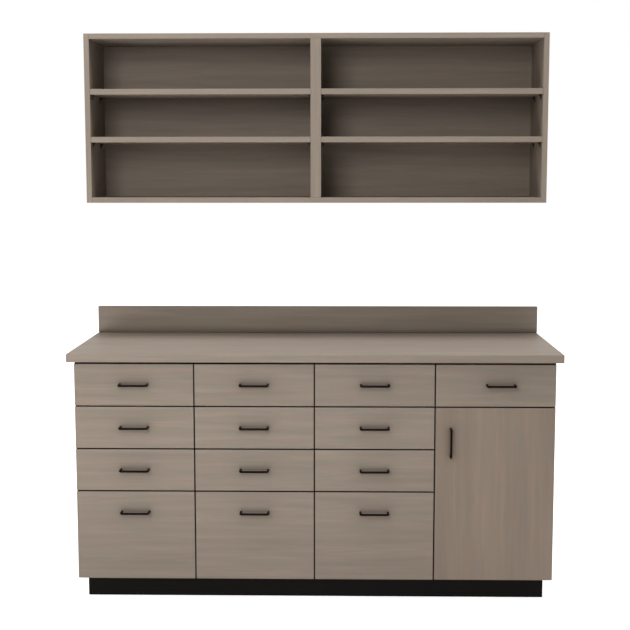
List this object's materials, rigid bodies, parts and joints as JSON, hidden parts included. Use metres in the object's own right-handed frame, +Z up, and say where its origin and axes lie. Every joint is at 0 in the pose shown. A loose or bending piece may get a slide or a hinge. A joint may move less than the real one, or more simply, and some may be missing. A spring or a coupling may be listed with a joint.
{
  "type": "pharmacy cabinet with wall shelves",
  "caption": "Laminate clinic base cabinet with drawers, a side door, worktop and backsplash, and an open wall shelf unit hung above it.",
  "frame": {"origin": "on the floor, under the middle of the outer box of the whole set", "axes": "+Z up, +X to the right of someone facing the fronts, +Y back to the wall; the fronts face -Y"},
  "size_m": [1.7184, 0.6246, 2.0146],
  "materials": {
    "taupe_laminate": "satin woodgrain laminate",
    "black_laminate": "matt black laminate",
    "white_melamine": "satin melamine",
    "black_metal": "satin black",
    "nickel_steel": "nickel plated"
  },
  "bodies": {
    "cabinet": {"left_end_panel": "taupe_laminate", "partition_1": "taupe_laminate", "partition_2": "taupe_laminate", "partition_3": "taupe_laminate", "right_end_panel": "taupe_laminate", "bottom_panel": "taupe_laminate", "sub_top": "taupe_laminate", "back_panel": "taupe_laminate", "plinth": "black_laminate", "countertop": "taupe_laminate", "backsplash": "taupe_laminate", "door_shelf": "taupe_laminate", "upper_hinge": "nickel_steel", "lower_hinge": "nickel_steel", "wall_carcass": "taupe_laminate", "wall_shelf_left_lower": "taupe_laminate", "wall_shelf_left_upper": "taupe_laminate", "wall_shelf_right_lower": "taupe_laminate", "wall_shelf_right_upper": "taupe_laminate"},
    "drawer_c1_r1": {"drawer_front_c1_r1": "taupe_laminate", "drawer_box_c1_r1": "white_melamine", "drawer_pull_c1_r1": "black_metal"},
    "drawer_c1_r2": {"drawer_front_c1_r2": "taupe_laminate", "drawer_box_c1_r2": "white_melamine", "drawer_pull_c1_r2": "black_metal"},
    "drawer_c1_r3": {"drawer_front_c1_r3": "taupe_laminate", "drawer_box_c1_r3": "white_melamine", "drawer_pull_c1_r3": "black_metal"},
    "drawer_c1_r4": {"drawer_front_c1_r4": "taupe_laminate", "drawer_box_c1_r4": "white_melamine", "drawer_pull_c1_r4": "black_metal"},
    "drawer_c2_r1": {"drawer_front_c2_r1": "taupe_laminate", "drawer_box_c2_r1": "white_melamine", "drawer_pull_c2_r1": "black_metal"},
    "drawer_c2_r2": {"drawer_front_c2_r2": "taupe_laminate", "drawer_box_c2_r2": "white_melamine", "drawer_pull_c2_r2": "black_metal"},
    "drawer_c2_r3": {"drawer_front_c2_r3": "taupe_laminate", "drawer_box_c2_r3": "white_melamine", "drawer_pull_c2_r3": "black_metal"},
    "drawer_c2_r4": {"drawer_front_c2_r4": "taupe_laminate", "drawer_box_c2_r4": "white_melamine", "drawer_pull_c2_r4": "black_metal"},
    "drawer_c3_r1": {"drawer_front_c3_r1": "taupe_laminate", "drawer_box_c3_r1": "white_melamine", "drawer_pull_c3_r1": "black_metal"},
    "drawer_c3_r2": {"drawer_front_c3_r2": "taupe_laminate", "drawer_box_c3_r2": "white_melamine", "drawer_pull_c3_r2": "black_metal"},
    "drawer_c3_r3": {"drawer_front_c3_r3": "taupe_laminate", "drawer_box_c3_r3": "white_melamine", "drawer_pull_c3_r3": "black_metal"},
    "drawer_c3_r4": {"drawer_front_c3_r4": "taupe_laminate", "drawer_box_c3_r4": "white_melamine", "drawer_pull_c3_r4": "black_metal"},
    "drawer_c4_r1": {"drawer_front_c4_r1": "taupe_laminate", "drawer_box_c4_r1": "white_melamine", "drawer_pull_c4_r1": "black_metal"},
    "door": {"door": "taupe_laminate", "door_pull": "black_metal"}
  },
  "joints": [
    {"name": "drawer_c1_r1_slide", "type": "slide", "parent": "cabinet", "child": "drawer_c1_r1", "axis": [0, -1, 0], "range_m": [0, 0.375]},
    {"name": "drawer_c1_r2_slide", "type": "slide", "parent": "cabinet", "child": "drawer_c1_r2", "axis": [0, -1, 0], "range_m": [0, 0.375]},
    {"name": "drawer_c1_r3_slide", "type": "slide", "parent": "cabinet", "child": "drawer_c1_r3", "axis": [0, -1, 0], "range_m": [0, 0.375]},
    {"name": "drawer_c1_r4_slide", "type": "slide", "parent": "cabinet", "child": "drawer_c1_r4", "axis": [0, -1, 0], "range_m": [0, 0.375]},
    {"name": "drawer_c2_r1_slide", "type": "slide", "parent": "cabinet", "child": "drawer_c2_r1", "axis": [0, -1, 0], "range_m": [0, 0.375]},
    {"name": "drawer_c2_r2_slide", "type": "slide", "parent": "cabinet", "child": "drawer_c2_r2", "axis": [0, -1, 0], "range_m": [0, 0.375]},
    {"name": "drawer_c2_r3_slide", "type": "slide", "parent": "cabinet", "child": "drawer_c2_r3", "axis": [0, -1, 0], "range_m": [0, 0.375]},
    {"name": "drawer_c2_r4_slide", "type": "slide", "parent": "cabinet", "child": "drawer_c2_r4", "axis": [0, -1, 0], "range_m": [0, 0.375]},
    {"name": "drawer_c3_r1_slide", "type": "slide", "parent": "cabinet", "child": "drawer_c3_r1", "axis": [0, -1, 0], "range_m": [0, 0.375]},
    {"name": "drawer_c3_r2_slide", "type": "slide", "parent": "cabinet", "child": "drawer_c3_r2", "axis": [0, -1, 0], "range_m": [0, 0.375]},
    {"name": "drawer_c3_r3_slide", "type": "slide", "parent": "cabinet", "child": "drawer_c3_r3", "axis": [0, -1, 0], "range_m": [0, 0.375]},
    {"name": "drawer_c3_r4_slide", "type": "slide", "parent": "cabinet", "child": "drawer_c3_r4", "axis": [0, -1, 0], "range_m": [0, 0.375]},
    {"name": "drawer_c4_r1_slide", "type": "slide", "parent": "cabinet", "child": "drawer_c4_r1", "axis": [0, -1, 0], "range_m": [0, 0.375]},
    {"name": "door_hinge", "type": "hinge", "parent": "cabinet", "child": "door", "pos_m": [0.83595, -0.2753, 0.089], "axis": [0, 0, 1], "range_deg": [0, 110]}
  ]
}
